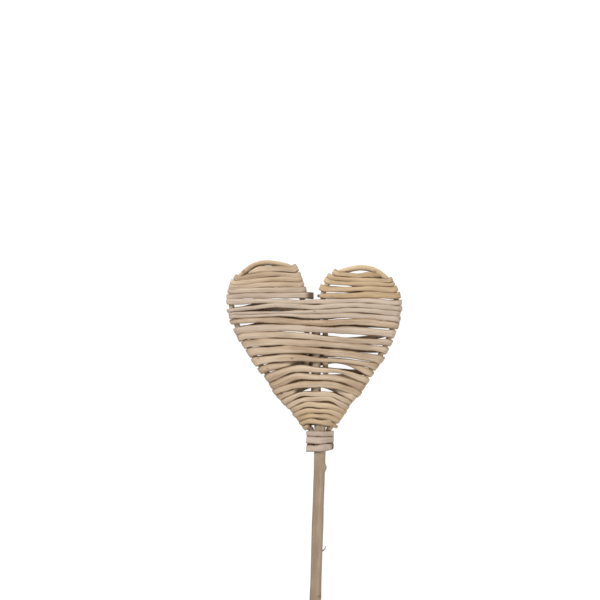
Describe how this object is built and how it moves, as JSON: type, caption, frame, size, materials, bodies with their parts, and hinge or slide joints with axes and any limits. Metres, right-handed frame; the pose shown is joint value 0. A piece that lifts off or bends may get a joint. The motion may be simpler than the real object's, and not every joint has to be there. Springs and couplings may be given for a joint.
{
  "type": "woven vine heart on a stick",
  "caption": "Flat heart woven from split vine over two bent rods, bound to a long round stick that it is held by or stuck in a pot or vase with.",
  "frame": {"origin": "centre of the bounding box's underside, on the surface that the heart lies on", "axes": "+Y from the stick's cut end to the heart's lobes, +Z out of the heart's front face, +X to the right as seen from the front"},
  "size_m": [0.101, 0.4, 0.0096],
  "materials": {
    "stick": "peeled bare wood, greyish brown, matte, with fine lengthwise grain",
    "frame_rod": "peeled bare willow-like rod, tan, matte",
    "weaver": "split and peeled vine, pale tan with pinkish and greyish strips, matte, lengthwise fibres",
    "binding": "split and peeled vine, pinkish beige, matte"
  },
  "bodies": {
    "root": {"stick": "stick", "left_frame_rod": "frame_rod", "right_frame_rod": "frame_rod", "left_lobe_weaver": "weaver", "right_lobe_weaver": "weaver", "body_weaver": "weaver", "neck_binding": "binding"}
  },
  "joints": []
}
